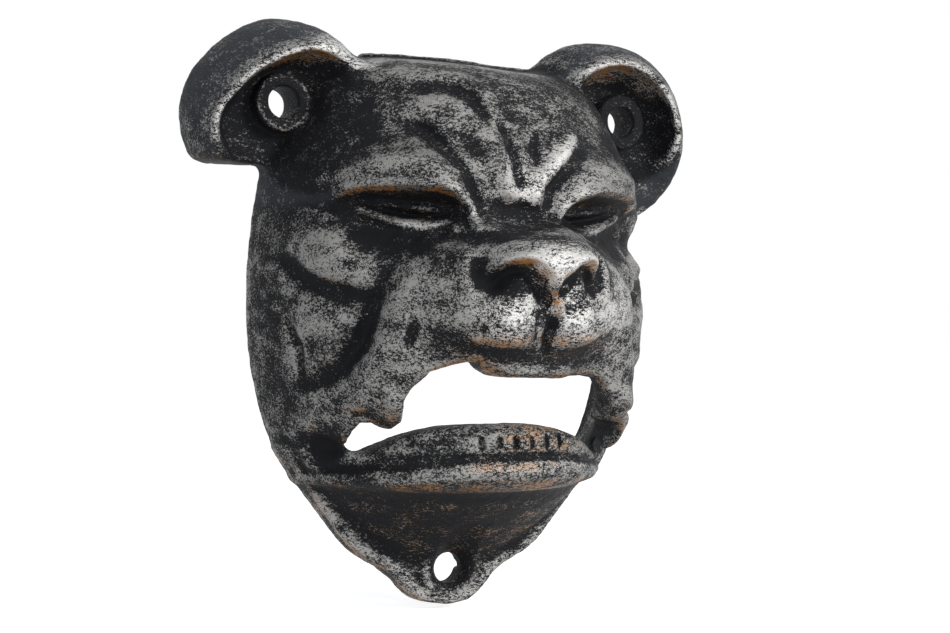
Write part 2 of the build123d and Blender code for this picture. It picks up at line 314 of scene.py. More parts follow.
# Patches of silver rub: name, half breadth in millimetres, how much more or less silver, whether
# the other side has it too, and course in pixels of the photograph
rub_patches = (
    ("cheek", 5.0, 0.25, True, ((295, 243), (325, 262), (352, 275))),
    ("cheek band", 2.6, -0.3, True, ((285, 270), (320, 292), (372, 298))),
    ("lower cheek", 4.5, 0.33, True, ((290, 318), (335, 322))),
    ("furrow", 2.6, -0.2, True, ((372, 318), (355, 350), (335, 370))),
    ("temple", 7.0, -0.25, True, ((300, 165), (330, 150), (345, 130))),
    ("under ear", 5.0, -0.3, True, ((285, 205), (290, 180))),
    ("eye hollow", 4.2, -0.3, True, ((350, 225), (370, 240), (395, 246))),
    ("brow", 6.0, 0.1, True, ((360, 165), (400, 168), (440, 172))),
    ("flank", 9.0, 0.22, True, ((400, 300), (440, 300))),
    ("nose", 6.0, 0.3, False, ((530, 256), (560, 262), (595, 262))),
    ("nose root", 3.0, 0.25, False, ((511, 160), (519, 185), (524, 207))),
    ("right fold", 2.0, 0.2, False, ((572, 138), (556, 160), (538, 180))),
    ("nostril", 2.6, -0.8, True, ((490, 276), (505, 282), (522, 282), (538, 288))),
    ("mouth corner", 3.2, -0.9, True, ((308, 442), (324, 449), (342, 458))),
    ("chin", 9.0, -0.35, False, ((370, 515), (450, 520), (530, 515))),
)

# Painted highlights on worn high places, the same way
highlight_patches = (
    ("nose root", 2.6, 1.0, False, ((511, 160), (519, 185), (524, 207))),
    ("right fold", 1.8, 1.0, False, ((574, 137), (556, 160), (538, 182), (529, 208))),
    ("brow end", 1.4, 0.9, True, ((452, 186), (466, 200), (476, 224))),
    ("nose", 7.5, 1.3, False, ((528, 256), (560, 264), (598, 264))),
    ("lip pad", 4.6, 0.9, True, ((492, 314), (512, 318), (534, 314))),
    ("right cheek", 7.0, 0.9, False, ((610, 295), (618, 330))),
    ("lower lid", 1.0, 0.6, True, ((405, 223), (440, 222))),
)


# A stroke's ends are thinner and lower than its middle. The reach turns its turns into millimetres.
stroke_end_share = 0.35
stroke_swell = 0.6
typical_reach = 38
side_fade = 0.2


def stroke_rise(turn, z, reach, breadth, rise, course):
    """Rise of one stroke over a map of turns and heights: a rounded band along its course."""
    best = np.full(turn.shape, far)
    share = np.zeros(turn.shape)
    runs = list(zip(course[:-1], course[1:]))
    lengths = [np.hypot((end[0] - start[0]) * typical_reach, end[1] - start[1]) for start, end in runs]
    total = sum(lengths)
    done = 0
    for (start, end), length in zip(runs, lengths):
        run_u = (end[0] - start[0]) * reach
        run_z = end[1] - start[1]
        off_u = (turn - start[0]) * reach
        off_z = z - start[1]
        part = np.clip((off_u * run_u + off_z * run_z) / (run_u**2 + run_z**2 + tiny), 0, 1)
        away = (off_u - part * run_u) ** 2 + (off_z - part * run_z) ** 2
        closer = away < best
        best = np.where(closer, away, best)
        share = np.where(closer, (done + part * length) / total, share)
        done += length
    swell = np.sin(np.pi * np.clip(share, 0, 1)) ** stroke_swell
    taper = stroke_end_share + (1 - stroke_end_share) * swell
    return rise * taper * np.exp(-best / (breadth * (0.6 + 0.4 * taper)) ** 2)


def sum_of_strokes(table, turn, z, reach):
    """All strokes of a table, with the mirrored ones on both sides of the face."""
    total = np.zeros(turn.shape)
    for name, breadth, rise, mirrored, pixels in table:
        course = [place_of_pixel(px, py) for px, py in pixels]
        total += stroke_rise(turn, z, reach, breadth, rise, course)
        if mirrored:
            course = [(-t, h) for t, h in course]
            total += stroke_rise(turn, z, reach, breadth, rise, course)
    return total


def face_maps(turns, heights):
    """Swellings, fine relief, silver patches and painted highlights for each turn and height."""
    half_width, depth = skull_size(heights)
    turn = turns[:, None] + 0 * heights[None, :]
    z = heights[None, :] + 0 * turn
    reach = np.sqrt((half_width * np.cos(turn)) ** 2 + (depth * np.sin(turn)) ** 2)
    hills = swelling(half_width * np.sin(turn), z) * np.clip(np.cos(turn), 0, 1)
    fine, patch, painted_highlight = [
        sum_of_strokes(table, turn, z, reach) for table in (strokes, rub_patches, highlight_patches)
    ]
    for name, middle, height, spread_turn, spread_z, rise in side_bulges:
        away = ((turn - middle) / spread_turn) ** 2 + ((z - height) / spread_z) ** 2
        fine += rise * np.exp(-away)
    fine *= ease(np.pi / 2, np.pi / 2 - side_fade, np.abs(turn))
    return [values.astype(np.float32) for values in (hills, fine, patch, painted_highlight)]


# Ears: radii of the outline at the wall and of the rim in front, and how far the rim stands out,
# at angles from the outer side upwards, for the left (-1) and the right (1). The rim runs from
# below the outer side over the top to the head, and fades into the floor of the cup elsewhere.
ear_angles = (-110, -80, -50, -30, -10, 15, 40, 65, 90, 120, 150, 180, 215, 250)
ear_wall_radii = {
    -1: (18.0, 18.0, 18.1, 18.9, 18.9, 18.2, 17.3, 17.4, 18.6, 19.4, 19.7, 20.5, 19.5, 18.0),
    1: (19.9, 19.6, 18.2, 16.9, 16.5, 17.0, 17.6, 18.0, 18.1, 20.0, 21.6, 20.5, 19.5, 18.0),
}
ear_rim_radii = {
    -1: (15.0, 16.0, 17.2, 17.2, 16.0, 12.4, 10.8, 10.4, 11.4, 14.2, 16.5, 17.5, 16.5, 15.0),
    1: (17.0, 16.0, 15.0, 14.0, 12.8, 12.0, 12.2, 12.8, 13.8, 15.0, 16.5, 17.5, 16.5, 15.0),
}
ear_rim_depths = {
    -1: (5.4, 5.6, 7.6, 10.6, 12.2, 12.5, 12.5, 12.5, 12.5, 12.5, 11.5, 9.0, 6.0, 5.4),
    1: (4.8, 4.8, 6.0, 9.0, 11.6, 12.5, 12.5, 12.5, 12.5, 12.5, 11.5, 9.0, 6.0, 5.4),
}
ear_floor_share = 0.70
ear_rim_breadth = 1.4
ear_wall_bow = 1.5
ear_rim_round = 1.2
ear_cup_round = 2.0
wall_overrun = (-0.3, 1.3)
cup_overrun = (-0.5, 1.5)


def ear_shape(x, y, z, side):
    """A cupped ear: a wall that leans in towards its rim, open at the front and below."""
    out = (x - side * ear_x) * side
    rise = z + ear_sink
    radius = np.sqrt(out**2 + rise**2) + tiny
    angle = np.degrees(np.arctan2(rise, out))
    angle = np.where(angle < ear_angles[0], angle + 360, angle)
    at_wall = curve_through(ear_angles, ear_wall_radii[side], angle)
    at_rim = curve_through(ear_angles, ear_rim_radii[side], angle)
    rim_depth = curve_through(ear_angles, ear_rim_depths[side], angle)
    forward = np.clip(-y / ear_depth, *wall_overrun)
    bow = ear_wall_bow * np.sin(np.pi * np.clip(forward, 0, 1))
    outline = at_wall + (at_rim - at_wall) * forward + bow
    lean = np.cos(np.arctan((at_wall - at_rim) / ear_depth))
    outside = (radius - outline) * lean
    body = cut(outside, -y - rim_depth, ear_rim_round)
    rise_share = np.clip((-y - ear_floor) / (ear_depth - ear_floor), *cup_overrun)
    at_floor = at_rim * ear_floor_share
    cup_outline = at_floor + (at_rim + bow - ear_rim_breadth - at_floor) * rise_share
    slant = np.cos(np.arctan((at_rim - at_floor) / (ear_depth - ear_floor)))
    inside = (radius - cup_outline) * slant
    cup = cut(inside, y + ear_floor, ear_cup_round)
    return body, cup


# Flange below the jaw: its width to the left and to the right at each height, and its shallow dish
# between the rim and the collar of the screw hole
flange_outline = (
    (37.3, 36.0, -67.4),
    (30.7, 29.6, -76.5),
    (26.3, 24.8, -82.5),
    (20.5, 19.0, -89.0),
    (13.5, 11.6, -93.1),
    (6.8, 5.2, -99.1),
    (0.0, 0.0, -100.6),
)
flange_edge_round = 1.6
flange_end_round = 2.0
dish_depth = 1.1
dish_rim = (1.6, 4.2)
dish_collar = (5.6, 8.0)
steepest_edge = 1.6


def flange_shape(x, y, z):
    heights = [-h for left, right, h in flange_outline]
    side = None
    for sign, column in ((-1, 0), (1, 1)):
        widths = [row[column] for row in flange_outline]
        half_width = curve_through(heights, widths, -z)
        slope = np.gradient(np.broadcast_to(half_width, z.shape).ravel(), z.ravel())
        lean = 1 / np.sqrt(1 + np.clip(slope, -steepest_edge, steepest_edge) ** 2)
        edge = (sign * x - half_width) * lean.reshape(z.shape)
        side = edge if side is None else np.maximum(side, edge)
    from_hole = from_axis(x, z, 0.0, chin_hole_drop)
    dish = dish_depth * ease(*dish_rim, -side) * ease(*dish_collar, from_hole)
    plate = cut(side, -y - chin_plate_thickness + dish, flange_edge_round)
    plate = cut(plate, z - flange_outline[0][2], flange_end_round)
    return cut(plate, -z - chin_drop, flange_end_round)


# Face of the lower lip: height, and how far it stands behind the jaw's full reach
lip_profile = (
    (-61.5, 2.4), (-62.4, 1.6), (-63.6, 0.9), (-64.8, 0.5), (-66.8, 0.5), (-67.7, 0.9), (-68.2, 1.3),
    (-68.8, 0.8), (-69.8, 0.1), (-71.2, 0.0), (-72.8, 0.6), (-74.0, 2.0), (-75.2, 4.2), (-76.4, 7.4),
)
left_lip_half_width = 33.4
right_lip_half_width = 32.0
lip_foot_dip = 2.6
lip_foot_span = 28
lip_foot_heights = (-77.0, -71.0)
lip_top_round = 1.6
lip_bottom_round = 2.4
plain_lip_back = 0.55
plain_lip_bottom = -70

# Droop of the lip's top to the sides: how much at the given span, its power and the most
droop_span = 20
left_droop, left_droop_power, left_droop_most = 2.2, 3.9, 5.3
right_droop, right_droop_power, right_droop_most = 4.4, 2.2, 6.5
lip_top_lift = 0.3

# Teeth: grooves across the lip, narrower below and of uneven depth
tooth_pitch = 3.6
tooth_groove_depth = 1.3
tooth_reach = 10.8
tooth_middle = -65.7
tooth_offset = 1.8
tooth_half_height = 1.4
beside_teeth = (12, 16)
groove_half_breadths = (0.38, 0.60)
groove_widening = 1.5
groove_usual = 0.8
groove_unevenness = 0.25
groove_beat = 2.3
jaw_hollow_gap = 1.0
jaw_hollow_round = 1.5


def jaw_shape(x, y, z):
    """The lower jaw with its lip, and the hollow behind it."""
    heights = [-h for h, back in lip_profile]
    backs = [back for h, back in lip_profile]
    dip = lip_foot_dip * (x / lip_foot_span) ** 2
    level_z = z + dip * ease(*lip_foot_heights, z)
    back = curve_through(heights, backs, -level_z)
    plain_share = ease(*beside_teeth, np.abs(x - tooth_offset))
    plain = back + plain_share * (np.minimum(back, plain_lip_back) - back)
    back = np.where(z > plain_lip_bottom, plain, back)
    half_width = np.where(x < 0, left_lip_half_width, right_lip_half_width)
    level = ellipse_distance(x, y, half_width, jaw_reach)
    number = np.round(x / tooth_pitch)
    narrow, wide = groove_half_breadths
    widening = ease(tooth_middle - groove_widening, tooth_middle + groove_widening, z)
    tooth = bell(x, number * tooth_pitch, narrow + (wide - narrow) * widening)
    tooth = tooth * (groove_usual + groove_unevenness * np.cos(groove_beat * number))
    row = ease(tooth_reach, tooth_reach - 1, np.abs(x - tooth_offset))
    band = bell(z, tooth_middle, tooth_half_height, 4) * row * (y < 0)
    face = level + back + tooth * band * tooth_groove_depth
    share = np.abs(x) / droop_span
    droop = np.where(x < 0, left_droop * share**left_droop_power, right_droop * share**right_droop_power)
    droop = np.minimum(droop - lip_top_lift, np.where(x < 0, left_droop_most, right_droop_most))
    outer = cut(face, z + jaw_top_drop + droop, lip_top_round)
    outer = cut(outer, -z - jaw_bottom_drop, lip_bottom_round)
    floor = -z - jaw_bottom_drop + jaw_thickness
    return outer, cut(level + jaw_thickness + jaw_hollow_gap, floor, jaw_hollow_round)


# Outline of the open mouth as seen from straight ahead: width, height
mouth_outline = (
    (0.0, -53.1), (9.4, -53.4), (11.4, -53.0), (14.8, -52.6), (18.6, -53.2), (20.6, -55.0),
    (23.0, -58.4), (25.0, -62.0), (28.2, -62.6), (29.6, -64.6), (29.0, -69.4), (-28.2, -69.4),
    (-29.0, -65.2), (-28.0, -61.8), (-25.3, -61.8), (-22.8, -63.1), (-21.6, -61.6), (-22.5, -57.6),
    (-21.4, -55.2), (-18.4, -52.0), (-14.6, -50.7), (-11.6, -50.0), (-10.0, -50.2), (-8.4, -51.5),
    (-6.2, -52.6), (-3.4, -53.1),
)
mouth_back = 4.0
mouth_back_round = 1.0
mouth_round = 1.2

# Hollows at the two corners of the mouth
corner_out, corner_forward, corner_drop = 32.6, 14.0, 67.3
corner_squash = 1.1
corner_radius = 2.3


def outline_distance(x, z, corners):
    """Signed distance from a closed outline in the plane of width and height."""
    best = np.full(np.broadcast(x, z).shape, far)
    odd = np.zeros(best.shape, bool)
    for (x0, z0), (x1, z1) in zip(corners, corners[1:] + corners[:1]):
        run_x = x1 - x0
        run_z = z1 - z0
        part = np.clip(((x - x0) * run_x + (z - z0) * run_z) / (run_x**2 + run_z**2), 0, 1)
        away = (x - x0 - part * run_x) ** 2 + (z - z0 - part * run_z) ** 2
        best = np.minimum(best, away)
        crosses = (z0 > z) != (z1 > z)
        meets = x0 + (z - z0) * run_x / (run_z if run_z else tiny)
        odd ^= crosses & (x < meets)
    best = np.sqrt(best)
    return np.where(odd, -best, best)


def lattice_noise(shape, cell, step, seed):
    """Smooth noise over the lattice, about one wave to each cell."""
    rng = np.random.default_rng(seed)
    counts = [int(n * step / cell) + 3 for n in shape]
    values = rng.uniform(-1, 1, counts).astype(np.float32)
    for axis, n in enumerate(shape):
        place = np.arange(n) * step / cell
        index = place.astype(int)
        spread = [1, 1, 1]
        spread[axis] = n
        part = ease(0, 1, place - index).astype(np.float32).reshape(spread)
        low = np.take(values, index, axis=axis)
        high = np.take(values, index + 1, axis=axis)
        values = low + (high - low) * part
    return values


# Rough skin of the cast surface: size of its waves, their height and the seed of each
skin_waves = ((3.4, 0.09, 11), (1.7, 0.072, 12), (0.95, 0.063, 13))

# Unevenness of the crown's edge: rise, middle and spread, and the heights where it fades in
crown_lifts = ((0.7, -20, 10), (-0.5, 10, 9))
crown_lift_heights = (0, 8)
crown_bulge = 0.9
crown_round = 1.4
steepest_skull = 2.5
skull_foot_drop = 93.0
skull_foot_round = 3.0
head_join = 2.0
flange_join = 2.2
ear_join = 2.6
ear_cut_round = 2.2
driver_round = 1.5
driver_sink = 1.0
driver_edge_round = 2.0
boss_round = 0.8
jaw_hollow_top_drop = 64.0
hollow_join = 1.5
hollow_round = 1.0
hole_round = 0.7
countersink_slope = 0.75
countersink_depth = 1.6

# Flare of the left wall towards its back: how far, and where it fades in
left_wall_flare = 0.5
flare_forward = (-12, 0)
flare_outward = (0, -30)
flare_middle = -45
flare_spread = 26

# Plate under the nose: its sides, top, bottom and back, how much its ends bend up and back
rest_side_gap = 0.4
rest_top_drop = 49.1
rest_bottom_drop = 53.3
rest_back = 22
left_rest_bend = 5.2
right_rest_bend = 0.6
rest_bow = 2.0
rest_bottom_round = 1.6
rest_front_round = 1.8
rest_join = 1.4

lattice_low = np.array((-61.0, -52.5, -104.0))
lattice_high = np.array((61.0, 2.5, 21.5))
slab_steps = 20
map_turns = 1441


def cap_rest_shape(x, y, z):
    bend = (np.abs(x) / cap_rest_half_width) ** 2
    rise = bend * np.where(x < 0, left_rest_bend, right_rest_bend)
    rest = np.maximum(np.abs(x) - cap_rest_half_width + rest_side_gap + 0 * z, z + rest_top_drop)
    rest = cut(rest, -z - rest_bottom_drop + rise, rest_bottom_round)
    rest = cut(rest, -y - cap_rest_reach + rest_bow * bend, rest_front_round)
    return np.maximum(rest, y + rest_back)


def casting_slab(x, y, z, wave, maps):
    """The casting in one slab of the lattice: its distances, its marks and its ear cups."""
    lift = sum(rise * bell(x, middle, spread) for rise, middle, spread in crown_lifts)
    level, turn = skull_distance(x, y, z - lift * ease(*crown_lift_heights, z))
    flare = ease(*flare_forward, y) * ease(*flare_outward, x) * bell(z, flare_middle, flare_spread, 4)
    level = level - left_wall_flare * flare
    place = (turn + np.pi) / (2 * np.pi) * (map_turns - 1)
    index = np.clip(place.astype(int), 0, map_turns - 2)
    part = place - index
    row = np.arange(z.shape[2])[None, None, :]
    coarse, detail, patch, painted_highlight = [
        values[index, row] * (1 - part) + values[index + 1, row] * part for values in maps
    ]
    smooth_skull = level - coarse
    slope = np.gradient(smooth_skull, LATTICE, axis=2)
    steep = np.sqrt(1 + np.clip(slope, -steepest_skull, steepest_skull) ** 2)
    smooth_skull = smooth_skull / steep
    skull = smooth_skull - detail / steep
    hollow = np.maximum(smooth_skull + wall, skull + thinnest_wall)
    skull = cut(skull, z - crown_height - crown_bulge - lift, crown_round)
    skull = cut(skull, -z - skull_foot_drop, skull_foot_round)

    head = join(skull, cap_rest_shape(x, y, z), rest_join)
    jaw, jaw_hollow = jaw_shape(x, y, z)
    lobe = cut(outline_distance(x, z, mouth_outline), y + mouth_back, mouth_back_round)
    head = cut(head, -lobe, mouth_round)
    head = join(head, jaw, head_join)
    squashed = ((z + corner_drop) * corner_squash) ** 2
    corner = np.sqrt((np.abs(x) - corner_out) ** 2 + (y + corner_forward) ** 2 + squashed)
    head = cut(head, corner_radius - corner, mouth_round)
    head = join(head, flange_shape(x, y, z), flange_join)

    for side in (-1, 1):
        radius = from_axis(x, z, side * ear_x)
        driver = cut(radius - driver_radius, y + boss_height - driver_sink, driver_round)
        ear, cup = ear_shape(x, y, z, side)
        cups = cup if side < 0 else np.minimum(cups, cup)
        if side < 0:
            ear = cut(ear, -z - left_ear_cut_drop, ear_cut_round)
        head = cut(head, -driver, driver_edge_round)
        head = join(head, cut(ear, -cup, ear_rim_round), ear_join)
        boss = cut(radius - boss_radius, -y - boss_height, boss_round)
        head = join(head, boss, boss_round)

    hollow = np.maximum(hollow, -z - skull_foot_drop)
    hollow = np.maximum(hollow, z - crown_height + wall)
    hollow = join(hollow, np.maximum(jaw_hollow, z + jaw_hollow_top_drop), hollow_join)
    solid = np.maximum(head, y)
    body = cut(head, -hollow, hollow_round) + wave
    for side in (-1, 1):
        radius = from_axis(x, z, side * ear_x)
        body = cut(body, screw_hole_radius - radius + 0 * y, hole_round)
    sink = np.clip(-y - chin_plate_thickness + countersink_depth, 0, 9) * countersink_slope
    radius = from_axis(x, z, 0.0, chin_hole_drop)
    body = cut(body, screw_hole_radius - radius + sink, hole_round)
    return np.maximum(body, y), solid, patch, painted_highlight, cups


def casting():
    """The whole casting on the lattice, in millimetres, worked out slab by slab."""
    axes = [np.arange(lo, hi, LATTICE) for lo, hi in zip(lattice_low, lattice_high)]
    x = axes[0][:, None, None].astype(np.float32)
    y = axes[1][None, :, None].astype(np.float32)
    z = axes[2][None, None, :].astype(np.float32)
    shape = tuple(len(axis) for axis in axes)
    maps = face_maps(np.linspace(-np.pi, np.pi, map_turns), axes[2])
    wave = np.zeros(shape, np.float32)
    for cell, height, seed in skin_waves:
        wave += np.float32(height) * lattice_noise(shape, cell, LATTICE, seed)
    fields = [np.empty(shape, np.float32) for field in range(5)]
    for start in range(0, shape[0], slab_steps):
        rows = slice(start, start + slab_steps)
        for field, values in zip(fields, casting_slab(x[rows], y, z, wave[rows], maps)):
            field[rows] = values
    return fields


def blur(field, spread):
    """Field smoothed over about the given distance."""
    steps = spread / LATTICE
    half = int(np.ceil(steps * 2))
    weights = np.exp(-0.5 * (np.arange(-half, half + 1) / steps) ** 2)
    weights = (weights / weights.sum()).astype(np.float32)
    for axis in range(3):
        padded = np.pad(field, [(half, half) if a == axis else (0, 0) for a in range(3)], "edge")
        total = np.zeros_like(field)
        for index, weight in enumerate(weights):
            window = [slice(None)] * 3
            window[axis] = slice(index, index + field.shape[axis])
            total += weight * padded[tuple(window)]
        field = total
    return field


def sample(field, points):
    """Field between the lattice points, at the given places."""
    place = (points - lattice_low) / LATTICE
    limits = np.array(field.shape) - 2
    index = np.clip(np.floor(place).astype(int), 0, limits)
    part = place - index
    total = np.zeros(len(points))
    for corner in range(8):
        bits = np.array(((corner >> 2) & 1, (corner >> 1) & 1, corner & 1))
        weight = np.prod(np.where(bits, part, 1 - part), axis=1)
        at = index + bits
        total += weight * field[at[:, 0], at[:, 1], at[:, 2]]
    return total


def surface_of(field):
    """Closed surface where the field changes sign, as vertices and triangles."""
    inside = field < 0
    cells = [n - 1 for n in field.shape]
    offsets = [(i, j, k) for i in (0, 1) for j in (0, 1) for k in (0, 1)]

    def corner(source, offset):
        return source[tuple(slice(o, o + n) for o, n in zip(offset, cells))]

    some = np.zeros(cells, bool)
    every = np.ones(cells, bool)
    for offset in offsets:
        some |= corner(inside, offset)
        every &= corner(inside, offset)
    active = some & ~every
    where = np.argwhere(active)
    number = np.full(cells, -1, np.int64)
    number[active] = np.arange(len(where))
    total = np.zeros((len(where), 3))
    count = np.zeros(len(where))
    for start in offsets:
        for axis in range(3):
            if start[axis]:
                continue
            end = list(start)
            end[axis] = 1
            a = field[tuple((where + start).T)].astype(float)
            b = field[tuple((where + end).T)].astype(float)
            cross = (a < 0) != (b < 0)
            share = np.where(cross, a / np.where(cross, a - b, 1), 0)
            point = where + np.array(start, float)
            point[:, axis] += share
            total += point * cross[:, None]
            count += cross
    points = total / count[:, None] * LATTICE + lattice_low
    faces = []
    for axis in range(3):
        others = [a for a in range(3) if a != axis]
        low = [slice(1, n - 1) for n in field.shape]
        high = [slice(1, n - 1) for n in field.shape]
        low[axis] = slice(0, field.shape[axis] - 1)
        high[axis] = slice(1, field.shape[axis])
        first = inside[tuple(low)]
        second = inside[tuple(high)]
        spot = np.argwhere(first != second)
        leaves = first[tuple(spot.T)]
        spot[:, others[0]] += 1
        spot[:, others[1]] += 1
        ring = []
        for du, dv in ((1, 1), (0, 1), (0, 0), (1, 0)):
            cell = spot.copy()
            cell[:, others[0]] -= du
            cell[:, others[1]] -= dv
            ring.append(number[tuple(cell.T)])
        quads = np.stack(ring, axis=1)
        forward = leaves if axis != 1 else ~leaves
        quads = np.where(forward[:, None], quads, quads[:, ::-1])
        faces.append(quads)
    quads = np.concatenate(faces)
    first = points[quads[:, 0]] - points[quads[:, 2]]
    second = points[quads[:, 1]] - points[quads[:, 3]]
    short = (first**2).sum(1) <= (second**2).sum(1)
    one = np.where(short[:, None], quads[:, [0, 1, 2]], quads[:, [1, 2, 3]])
    two = np.where(short[:, None], quads[:, [0, 2, 3]], quads[:, [1, 3, 0]])
    return points, np.concatenate((one, two))


settle_turns = 3
settle_step = 0.3


def settle(points, field, gradient):
    """Moves each vertex onto the zero level of the field."""
    for turn in range(settle_turns):
        value = sample(field, points)
        slope = np.stack([sample(g, points) for g in gradient], axis=1)
        size = (slope**2).sum(1) + 1e-6
        move = slope * (value / size)[:, None]
        length = np.linalg.norm(move, axis=1)
        move *= np.minimum(1, settle_step * LATTICE / (length + tiny))[:, None]
        points = points - move
    points[:, 1] = np.minimum(points[:, 1], 0)
    return points


snap_share = 0.12
on_plane_gap = 1e-6


def edges_of(faces):
    return np.concatenate((faces[:, [0, 1]], faces[:, [1, 2]], faces[:, [2, 0]]))


def crossed_sides(corners):
    """Directions square to the triangles, as long as twice their area."""
    return np.cross(corners[:, 1] - corners[:, 0], corners[:, 2] - corners[:, 0])


class Shell:
    """Vertices shared by all pieces, which grow as the surface is divided."""

    def __init__(self, points):
        self.points = points

    def divide(self, faces, normal, offset):
        """Parts of a closed surface in front of and behind a plane, each closed again."""
        normal = np.array(normal, float)
        length = np.linalg.norm(normal)
        normal /= length
        offset /= length
        used = np.unique(faces)
        away = np.full(len(self.points), far)
        away[used] = self.points[used] @ normal - offset
        near = np.abs(away) < snap_share * LATTICE
        self.points[near] -= away[near][:, None] * normal
        away[near] = 0
        sign = np.sign(away).astype(int)
        signs = sign[faces]
        most = signs.max(1)
        least = signs.min(1)
        front = faces[(least >= 0) & (most > 0)]
        behind = faces[most <= 0]
        across = faces[(least < 0) & (most > 0)]
        if len(across) == 0:
            return front, behind
        front_new, behind_new = self.split(across, away)
        front = np.concatenate((front, front_new))
        behind = np.concatenate((behind, behind_new))
        cap = self.cap(front, np.abs(self.points @ normal - offset) < on_plane_gap, normal)
        return np.concatenate((front, cap)), np.concatenate((behind, cap[:, ::-1]))

    def split(self, across, away):
        """Parts of the triangles that a plane crosses, with new vertices on the plane."""
        edges = np.sort(edges_of(across), axis=1)
        crossed = away[edges[:, 0]] * away[edges[:, 1]] < 0
        keys, back = np.unique(edges[crossed], axis=0, return_inverse=True)
        a = away[keys[:, 0]]
        b = away[keys[:, 1]]
        share = (a / (a - b))[:, None]
        start = len(self.points)
        middle = self.points[keys[:, 0]] * (1 - share) + self.points[keys[:, 1]] * share
        self.points = np.concatenate((self.points, middle))
        made = np.full(len(edges), -1)
        made[crossed] = start + back.ravel()
        made = made.reshape(3, -1).T
        front = []
        behind = []
        sign = np.sign(away[across])
        zeros = (sign == 0).sum(1)
        for lead in range(3):
            order = [lead, (lead + 1) % 3, (lead + 2) % 3]
            tri = across[:, order]
            mid = made[:, order]
            s = sign[:, order]
            lone = (zeros == 0) & (s[:, 1] == s[:, 2]) & (s[:, 0] != s[:, 1])
            t, m, top = tri[lone], mid[lone], s[lone, 0] > 0
            tip = np.stack((t[:, 0], m[:, 0], m[:, 2]), 1)
            base = np.concatenate((
                np.stack((m[:, 0], t[:, 1], t[:, 2]), 1),
                np.stack((m[:, 0], t[:, 2], m[:, 2]), 1),
            ))
            top_base = np.concatenate((top, top))
            front += [tip[top], base[~top_base]]
            behind += [tip[~top], base[top_base]]
            half = (zeros == 1) & (s[:, 0] == 0)
            t, m, top = tri[half], mid[half], s[half, 1] > 0
            one = np.stack((t[:, 0], t[:, 1], m[:, 1]), 1)
            two = np.stack((t[:, 0], m[:, 1], t[:, 2]), 1)
            front += [one[top], two[~top]]
            behind += [one[~top], two[top]]
        return np.concatenate(front), np.concatenate(behind)

    def cap(self, faces, on_plane, normal):
        """Triangles that close the cut of a surface on its plane."""
        edges = edges_of(faces)
        edges = edges[on_plane[edges].all(1)]
        keys, count = np.unique(np.sort(edges, axis=1), axis=0, return_counts=True)
        keys = keys[count == 1]
        used, local = np.unique(keys, return_inverse=True)
        local = local.reshape(keys.shape)
        bm = bmesh.new()
        verts = [bm.verts.new(Vector(self.points[index])) for index in used]
        lines = [bm.edges.new((verts[a], verts[b])) for a, b in local]
        bm.verts.index_update()
        bmesh.ops.triangle_fill(bm, edges=lines, normal=Vector(normal), use_dissolve=False)
        made = [[used[v.index] for v in face.verts] for face in bm.faces if len(face.verts) == 3]
        bm.free()
        if not made:
            return np.zeros((0, 3), int)
        made = np.array(made)
        facing = crossed_sides(self.points[made]) @ normal
        return np.where((facing > 0)[:, None], made[:, ::-1], made)


right, left, up = (1, 0, 0), (-1, 0, 0), (0, 0, 1)
ear_border_crown = (24.0, 13.0)


def beside_ear(side, brow):
    """Plane that parts an ear from the head, from the crown to the brow, facing the ear."""
    x0, z0 = ear_border_crown
    x1, z1 = brow
    normal = (side * (z0 - z1), 0, x1 - x0)
    return normal, normal[0] * side * x0 + normal[2] * z0


# Cuts that divide the casting, in their order: what is cut, what lies in front of the plane and
# what behind, where the plane faces and how far out it lies. A name that comes twice is a piece of
# two parts.
cuts = (
    ("head", "left_ear", "head", *beside_ear(-1, (42.5, -13.0))),
    ("head", "right_ear", "head", *beside_ear(1, (42.5, -22.0))),
    ("head", "forehead", "head", up, -19.5),
    ("head", "face", "head", up, -48.4),
    ("head", "lips", "head", up, -64.0),
    ("head", "lower_jaw", "chin_plate", up, -77.0),
    ("face", "left_cheek", "face", left, 19.0),
    ("face", "right_cheek", "muzzle", right, 19.0),
    ("lips", "left_cheek", "lips", left, 31.5),
    ("lips", "right_cheek", "lips", right, 31.5),
    ("lips", "left_flew", "lips", left, 20.0),
    ("lips", "right_flew", "lips", right, 20.0),
    ("lips", "lips", "lower_jaw", up, -58.0),
    ("lips", "left_flew", "lips", left, 10.5),
    ("lips", "right_flew", "cap_rest", right, 10.5),
)


piece_names = ("left_ear", "right_ear", "forehead", "chin_plate", "muzzle", "cap_rest",
               "left_cheek", "right_cheek", "left_flew", "right_flew", "lower_jaw")


def divide_casting(shell, faces):
    """Closed parts of the surface by the name of the node that they stand for."""
    parts = {"head": [faces]}
    for source, front, behind, normal, offset in cuts:
        divided = shell.divide(parts.pop(source)[0], normal, offset)
        for name, part in zip((front, behind), divided):
            parts.setdefault(name, []).append(part)
    return parts


least_agreement = 0.25


def add_object(name, data):
    item = bpy.data.objects.new(name, data)
    bpy.context.scene.collection.objects.link(item)
    return item


